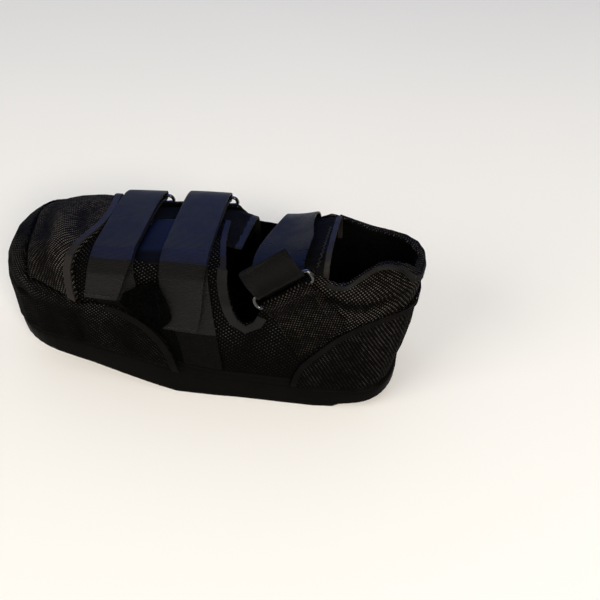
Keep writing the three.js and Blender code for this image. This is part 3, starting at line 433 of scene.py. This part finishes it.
napLook = {
    "brushedLining": {"thread": 0.0015, "warm": 0.0, "clump": 900.0, "depth": 0.15,
                      "rough": 0.95, "shine": 0.01},
    "flapLining": {"thread": 0.003, "warm": -0.05, "clump": 700.0, "depth": 0.2, "rough": 0.9, "shine": 0.03},
    "pileNap": {"thread": 0.0015, "warm": 0.03, "clump": 600.0, "depth": 0.4, "rough": 0.95, "shine": 0.0},
    "sewingThread": {"thread": 0.016, "warm": 0.06, "clump": 2000.0, "depth": 0.03,
                     "rough": 0.6, "shine": 0.1},
}
napOf = {key: napCloth(key, look) for key, look in napLook.items()}
bandFoam = soleFoam("bandFoam", {
    "thread": 0.0016, "warm": 0.14, "depth": 0.08, "rough": 0.55, "shine": 0.022})
ringBlack = ringPlastic("ringBlack", {
    "tone": 0.002, "rubbedAndShaded": 2.2, "rough": 0.22, "coat": 0.6, "coatRough": 0.08, "depth": 0.02})
print("materials made")


def dress(piece, material, slotName, *nodes):
    piece.data.materials.clear()
    piece.data.materials.append(material)
    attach(piece, "root")
    if nodes:
        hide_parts(*nodes)


# the middle of each face in mm, its normal, and the material that it has
def facesOf(piece):
    faces = piece.data.polygons
    centre = np.zeros(len(faces) * 3, np.float32)
    normal = np.zeros(len(faces) * 3, np.float32)
    used = np.zeros(len(faces), np.int32)
    faces.foreach_get("center", centre)
    faces.foreach_get("normal", normal)
    faces.foreach_get("material_index", used)
    return centre.reshape(-1, 3) / mm, normal.reshape(-1, 3), used


# gives a second cloth to the chosen faces
def addCloth(piece, material, chosen):
    piece.data.materials.append(material)
    used = facesOf(piece)[2]
    used = np.where(chosen, len(piece.data.materials) - 1, used).astype(np.int32)
    piece.data.polygons.foreach_set("material_index", used)


# the inner face of a shell takes a lining
def lineInside(piece, material, height=55):
    centre, normal, _ = facesOf(piece)
    addCloth(piece, material, (outwardFrom(centre, height) * normal).sum(1) < -0.15)


# the outer faces behind a place along the shoe
def lineBehind(piece, material, place):
    centre, _, used = facesOf(piece)
    addCloth(piece, material, (centre[:, 0] < place) & (used == 0))


# the vamp's top, under and between the straps, is a smooth cloth
def lineTop(piece, material, back, front, near, low):
    centre, _, used = facesOf(piece)
    x, y, z = centre.T
    addCloth(piece, material, (x > back) & (x < front) & (y < near) & (z > low) & (used == 0))


# the near side's faces under a height
def lineUnder(piece, material, height):
    _, y, z = facesOf(piece)[0].T
    addCloth(piece, material, (y > 0) & (z < height))


def aimedFrom(place, target):
    return (Vector(target) - Vector(place)).to_track_quat("-Z", "Y").to_euler()


# camera, floor and light
view = {"at": (-0.09172, 0.38802, 0.35769), "looksAt": (-0.0233, 0.0, 0.0499), "lens": 43.2}
bpy.ops.object.camera_add(location=view["at"])
camera = bpy.context.object
camera.name = "camera"
camera.data.lens = view["lens"]
camera.data.sensor_width = 36
camera.data.clip_start = 0.01
camera.rotation_euler = aimedFrom(view["at"], view["looksAt"])
bpy.context.scene.camera = camera

bpy.ops.mesh.primitive_plane_add(size=8, location=(0, 0, 0))
floor = bpy.context.object
floor.name = "floor"
paper = Finish("palePaper", 0.9, 0.2)
mottle = paper.ramp(paper.noise(1.5), 0.3, 0.7)
paper.colour(paper.blend(mottle, (0.95, 0.95, 0.94, 1), (0.97, 0.97, 0.96, 1)))
floor.data.materials.append(paper.material)

lightsAim = (0.03, 0, 0.05)
lights = {
    "skyPanel": {"at": (0.2, -2.9, 2.4), "size": 3.4, "energy": 125, "colour": (0.02, 0.14, 1.0)},
    "keyPanel": {"at": (-1.4, 2.3, 1.6), "size": 0.9, "energy": 90, "colour": (1.0, 0.9, 0.78)},
    "fillPanel": {"at": (2.0, 2.0, 1.5), "size": 2.0, "energy": 45, "colour": (1.0, 0.92, 0.82)},
}
for name, light in lights.items():
    bpy.ops.object.light_add(type="AREA", location=light["at"])
    lamp = bpy.context.object
    lamp.name = name
    lamp.data.size = light["size"]
    lamp.data.energy = light["energy"]
    lamp.data.color = light["colour"]
    lamp.visible_diffuse = name != "skyPanel"     # it only gives the straps their blue gloss
    lamp.rotation_euler = aimedFrom(light["at"], lightsAim)
studio = {"colour": (0.9, 0.95, 1.0, 1), "strength": 0.4}
world = bpy.data.worlds.new("studio")
world.use_nodes = True
world.node_tree.nodes["Background"].inputs[0].default_value = studio["colour"]
world.node_tree.nodes["Background"].inputs[1].default_value = studio["strength"]
bpy.context.scene.world = world
bpy.context.scene.view_settings.view_transform = "Standard"
print("camera, floor and light set")


# main creases of the upper, the toe and the heel, in mm
quarterMarks = [
    {"line": [(-42, 43, 97), (-49, 42, 97), (-58, 42, 95), (-67, 40, 93), (-78, 38, 95), (-87, 33, 100)],
     "width": 4.5, "depth": -2.4, "wearAndPaintedShade": 1.1},     # the padded roll
    {"line": [(-43, 46, 91), (-48, 44, 88), (-55, 41, 82), (-63, 39, 79), (-72, 38, 79), (-82, 37, 84),
              (-91, 34, 90)],
     "width": 3.4, "depth": 3.4, "wearAndPaintedShade": 0.95},
    {"line": [(-49, 45, 80), (-56, 43, 74), (-64, 40, 70), (-74, 37, 71), (-85, 34, 79)],
     "width": 3.4, "depth": -1.8, "wearAndPaintedShade": 0.8},
    {"line": [(-47, 46, 87), (-54, 45, 78), (-60, 44, 68)], "width": 2.4, "depth": 1.2, "wearAndPaintedShade": 0.9},
    {"line": [(-12, 49, 70), (-2, 50, 55), (6, 51, 38)], "width": 6, "depth": 0.9},
    {"line": [(4, 51, 45), (14, 51, 52), (20, 51, 62)], "width": 5, "depth": -0.6},
    {"line": [(-40, -40, 92), (-60, -37, 84), (-80, -32, 84)], "width": 5, "depth": 1.6},
]
toeMarks = [
    {"line": [(154, -6, 102), (149, 10, 103), (142, 27, 101), (136, 40, 93), (131, 48, 82)],
     "width": 7, "depth": 2.8, "wearAndPaintedShade": 0.85},
    {"line": [(142, -8, 104), (135, 12, 105), (127, 30, 103), (121, 42, 96)],
     "width": 5, "depth": -2.0, "wearAndPaintedShade": 1.1},
    {"line": [(127, -10, 103), (123, 8, 104), (118, 26, 102)], "width": 5, "depth": 1.6, "wearAndPaintedShade": 0.8},
    {"line": [(160, -30, 98), (164, -14, 98), (163, 4, 98)], "width": 6, "depth": -0.6},
]
guardMarks = [
    {"line": [(119, 53, 62), (117, 53, 50), (117, 52, 38), (116, 51, 30)], "width": 2.4, "depth": 1.8},
    {"line": [(127, 53, 60), (126, 53, 46), (124, 52, 34)], "width": 4, "depth": -1.0},
    {"line": [(100, 55, 55), (90, 55, 45), (80, 54, 34)], "width": 5, "depth": 0.8},
    {"line": [(150, 46, 50), (152, 44, 40)], "width": 5, "depth": 0.9},
    {"line": [(176, -34, 88), (176, -14, 93), (170, 6, 95), (163, 22, 95), (158, 35, 91), (153, 45, 83),
              (146, 51, 76), (136, 53, 71), (124, 55, 68), (112, 55, 67)],
     "width": 4.0, "depth": -1.5, "wearAndPaintedShade": 2.4},     # the roll at the guard's rim
    {"line": [(181, -14, 82), (176, 10, 82), (169, 28, 79), (159, 43, 71), (148, 52, 65), (136, 54, 61),
              (120, 56, 59)],
     "width": 3.0, "depth": 1.5, "wearAndPaintedShade": 0.9},
]
tapeGrooves = [
    {"line": [(101, 58, 67), (89, 58, 66.5), (71, 58, 56), (59.5, 58, 42.5), (52.5, 58, 26)],
     "width": 1.1, "depth": 0.6},
    {"line": [(-5, 53, 63), (3, 53, 60), (11, 53, 65.5), (15.4, 53, 80), (17, 52, 95)],
     "width": 1.0, "depth": 0.6},
]

# voxel in mm and rounds of relaxing set how soft each piece's edges are
sole = {"voxel": 1.15, "rounds": 3}
bed = {"voxel": 1.6, "rounds": 6}
outsole = soften("outsole", "soleUnit", **sole)
dress(outsole, bandFoam, "outsole", "outsole")
insole = soften("insole", "footbed", **bed)
dress(insole, napOf["brushedLining"], "insole", "insole")
print("sole made")

shell = {"voxel": 1.15, "rounds": 45}
shellTop = {"back": 30, "front": 100, "near": 46, "low": 101}
quarterFrom = -36
upper = soften("upper", "upperShell", **shell)
press(upper, quarterMarks)
clothMap(upper)
dress(upper, meshOf["vamp"], "mesh", "upper")
lineInside(upper, napOf["brushedLining"])
lineBehind(upper, meshOf["quarter"], quarterFrom)
lineTop(upper, tapeOf["vampTop"], **shellTop)

guardSoft = {"voxel": 1.0, "rounds": 30}
guard = soften("toe_guard", "toeGuard", **guardSoft)
press(guard, guardMarks)
clothMap(guard)
dress(guard, meshOf["guard"], "mesh", "toe_guard")

coverSoft = {"voxel": 0.85, "rounds": 30}
coverDome = (128, 0, 104, 0.7)     # middle, top, and how much of the drop spreads the cloth
cover = soften("toe_cover", "toeCover", **coverSoft)
press(cover, toeMarks)
clothMap(cover, "dome", centre=coverDome)
dress(cover, meshOf["toe"], "mesh", "toe_cover")

counterSoft = {"voxel": 0.7, "rounds": 30}
counter = soften("heel_counter", "heelCounter", **counterSoft)
press(counter, quarterMarks)
settle(counter, upper, reach=40)
clothMap(counter)
dress(counter, meshOf["counter"], "mesh", "heel_counter")
print("upper made")

tapeSoft = {"voxel": 0.45, "rounds": 10, "blur": 4}
# each tape's name, its cloth and what it is drawn in to
tapes = {
    "toe_cover_binding": ("coverTape", "coverTape", None),
    "toe_guard_binding_left": ("guardTapeLeft", "edgeTape", None),
    "toe_guard_binding_right": ("guardTapeRight", "edgeTape", None),
    "heel_counter_binding": ("counterTape", "edgeTape", counter),
    "collar_binding": ("collarBinding", "collarTape", upper),
    "throat_binding": ("throatTape", "throatCloth", None),
}
for node, (name, cloth, under) in tapes.items():
    tape = soften(node, name, **tapeSoft)
    press(tape, quarterMarks + tapeGrooves)
    if under:
        settle(tape, under)
    dress(tape, tapeOf[cloth], "binding", node)
print("tapes made")

flapSoft = {"voxel": 0.8, "rounds": 20}
flapEdges = {"far": 16, "front": -44.5}     # behind these places the flaps have a taped edge
farFlap = soften("far_flap", "farFlap", **flapSoft)
clothMap(farFlap)
dress(farFlap, napOf["flapLining"], "lining", "far_flap")
lineBehind(farFlap, tapeOf["throatCloth"], flapEdges["far"])
frontFlap = soften("front_flap", "frontFlap", **flapSoft)
clothMap(frontFlap)
dress(frontFlap, napOf["flapLining"], "lining", "front_flap")
lineBehind(frontFlap, tapeOf["coverTape"], flapEdges["front"])

patchSoft = {"voxel": 0.6, "rounds": 12}
patch = soften("pile_patch", "pilePatch", **patchSoft)
dress(patch, napOf["pileNap"], "pile", "pile_patch")

tabSoft = {"voxel": 0.6, "rounds": 25}
tabMap = {"line": [(-19, 54, 96), (-25, 53, 84), (-35, 48, 68), (-46, 47, 52)], "across": (-0.83, -0.22, 0.5)}
tab = soften("ring_tab", "ringTab", **tabSoft)
clothMap(tab, "line", **tabMap)
dress(tab, meshOf["tab"], "mesh", "ring_tab")
print("flaps, patch and tab made")


# a strap's edges bend by more than edge and its folds by more than fold, in degrees; the folds lie over the
# shoulder, nearer and higher than foldFrom in m
creases = {"edge": 62, "edgeSharp": 0.9, "fold": 14, "foldFrom": (0.02, 0.08)}


# webbing keeps its own rows of faces, made smooth between them; fold is how sharp its folds stay
def webbing(node, name, rounds=2, fold=0.0):
    piece = copyNode(node, name)
    editMode()
    bpy.ops.mesh.select_all(action="SELECT")
    bpy.ops.mesh.tris_convert_to_quads(face_threshold=math.radians(60), shape_threshold=math.radians(60))
    editMode(False)
    sharp = piece.data.attributes.new("crease_edge", "FLOAT", "EDGE")
    faceOf = {}
    for face in piece.data.polygons:
        for key in face.edge_keys:
            faceOf.setdefault(key, []).append(face.normal)
    for edge in piece.data.edges:
        pair = faceOf[edge.key]
        bend = math.degrees(pair[0].angle(pair[1], 0)) if len(pair) == 2 else 0
        ends = [piece.data.vertices[i].co for i in edge.vertices]
        middle = (ends[0] + ends[1]) / 2
        near, high = creases["foldFrom"]
        if bend > creases["edge"]:
            sharp.data[edge.index].value = creases["edgeSharp"]
        elif bend > creases["fold"] and middle.y > near and middle.z > high:
            sharp.data[edge.index].value = fold
    modify(piece, "SUBSURF", levels=rounds, render_levels=rounds)
    smoothShade(piece)
    return piece


# painted shade: below each height the strap's near side takes the darker webbing copy
foreStraps = {"front_strap": ("frontStrap", 74), "mid_strap": ("midStrap", 54)}     # dark under this height
for node, (name, shadeUnder) in foreStraps.items():
    strap = webbing(node, name, 3, 0.6)
    clothMap(strap)
    dress(strap, strapWeave, "webbing", node)
    lineUnder(strap, shadedWeave, shadeUnder)
for node, name in (("front_ring_loop", "frontRingLoop"), ("mid_ring_loop", "midRingLoop")):
    loop = webbing(node, name)
    clothMap(loop)
    dress(loop, strapWeave, "webbing", node)

ankleMap = {"across": (-1, 0, 0), "line": [
    (-27, -39, 72), (-26, -39, 86), (-24, -37, 96), (-23, -32, 101), (-22, -20, 104), (-19, 0, 105),
    (-17, 17, 106), (-17, 28, 106), (-17, 36, 105), (-17, 42, 103), (-19, 50, 101), (-10, 56, 116)]}
ankleStrap = webbing("ankle_strap", "ankleStrap", 3)
clothMap(ankleStrap, "line", **ankleMap)

# the folded end stands up from the ring: it bows out and its tip tucks in, in mm
flap = {
    "bar": (-19.5, 49.6, 100), "up": (0.54, -0.13, 0.83), "out": (-0.12, 0.97, 0.23),
    "along": (-0.83, -0.22, 0.5), "length": 19, "bow": 2.0, "tuck": 3.5,
}
co = pointsOf(ankleStrap)
up = (co - flap["bar"]) @ np.array(flap["up"])
out = (co - flap["bar"]) @ np.array(flap["out"])
run = np.clip(up / flap["length"], 0, 1.1) * (out > 0.8)
lift = flap["bow"] * np.sin(np.pi * np.clip(run, 0, 1)) - flap["tuck"] * run ** 3
setPoints(ankleStrap, co + lift[:, None] * np.array(flap["out"]))
dress(ankleStrap, ankleTwill, "webbing", "ankle_strap")
for node, name in (("front_ring", "frontRing"), ("mid_ring", "midRing"), ("ankle_ring", "ankleRing")):
    wire = webbing(node, name)
    dress(wire, ringBlack, "ring", node)
print("straps and rings made")


def addMesh(name, points, corners):
    mesh = bpy.data.meshes.new(name)
    mesh.from_pydata([tuple(v) for v in points], [], corners)
    piece = bpy.data.objects.new(name, mesh)
    bpy.context.scene.collection.objects.link(piece)
    return piece


# rows of sewing thread laid on a piece; lean turns each stitch to and fro for a zigzag
def sew(name, onto, rows, length=3.0, step=2.9, lean=0, thick=0.55):
    bpy.ops.object.select_all(action="DESELECT")
    bpy.ops.mesh.primitive_uv_sphere_add(segments=6, ring_count=5, radius=0.5 * mm)
    stitch = bpy.context.object
    shape = pointsOf(stitch) * (length, thick, thick)
    faces = [tuple(face.vertices) for face in stitch.data.polygons]
    bpy.data.objects.remove(stitch)
    points, corners = [], []
    for row in rows:
        for p, q in zip(row[:-1], row[1:]):
            p, q = Vector(p), Vector(q)
            count = max(round((q - p).length / step), 1)
            for i in range(count):
                spot = (p + (q - p) * ((i + 0.5) / count)) * mm
                _, place, normal, _ = onto.closest_point_on_mesh(spot)
                along = ((q - p) - normal * (q - p).dot(normal)).normalized()
                turn = math.radians(lean) * (-1) ** i
                along = along * math.cos(turn) + normal.cross(along) * math.sin(turn)
                turned = shape @ np.array([along, normal.cross(along), normal])
                corners += [tuple(k + len(points) for k in face) for face in faces]
                points += list(turned * mm + np.array(place))
    piece = addMesh(name, points, corners)
    smoothShade(piece)
    dress(piece, napOf["sewingThread"], "webbing")


# a place on the tab, measured from the ring's bar
def flapPlace(across, up):
    bar = Vector(flap["bar"]) + Vector(flap["along"]) * across
    return tuple(bar + Vector(flap["up"]) * up + Vector(flap["out"]) * 9)


sew("frontStrapHem", bpy.data.objects["frontStrap"], [[(87, 60, 77.5), (109, 60, 77.5)]], lean=38)
sew("midStrapHem", bpy.data.objects["midStrap"], [[(35, 60, 58), (60, 60, 58)]], lean=38)
tabRows = [
    [flapPlace(-14, -16), flapPlace(14, -16)],
    [(-36, 53, 97), (-43, 52, 88), (-49, 50, 76), (-54, 49, 66)],
    [(-11, 60, 84), (-17, 56, 68), (-25, 54, 54)],
]
sew("tabSeams", tab, tabRows, length=1.8, step=2.4, thick=0.4)
zigzagRow = [(-40, -6, 118), (-40, 12, 118), (-40, 30, 116), (-40, 40, 108)]
sew("flapZigzag", frontFlap, [zigzagRow], lean=45, step=2.0)


# loose fibres of the pile: each a thin three sided spike
fibres = {"count": 2600, "length": (0.7, 1.7), "radius": 0.07}


def growFibres(name, onto):
    outer = [face for face in onto.data.polygons if face.normal.y > 0.2]
    foot = fibres["radius"] * np.array([(1, 0, 0), (-0.5, 0, 0.87), (-0.5, 0, -0.87)])
    points, corners = [], []
    for _ in range(fibres["count"]):
        face = random.choice(outer)
        root = np.array(face.center) / mm
        lean = np.array([random.gauss(0, 0.5), random.gauss(0, 0.2), random.gauss(0, 0.5)])
        tip = root + (np.array(face.normal) + lean) * random.uniform(*fibres["length"])
        start = len(points)
        points += [(root + side) * mm for side in foot]
        points.append(tip * mm)
        corners += [tuple(start + k for k in side) for side in ((0, 1, 2), (1, 0, 3), (2, 1, 3), (0, 2, 3))]
    dress(addMesh(name, points, corners), napOf["pileNap"], "pile")


growFibres("pileFibres", patch)
print("stitches and fibres made")
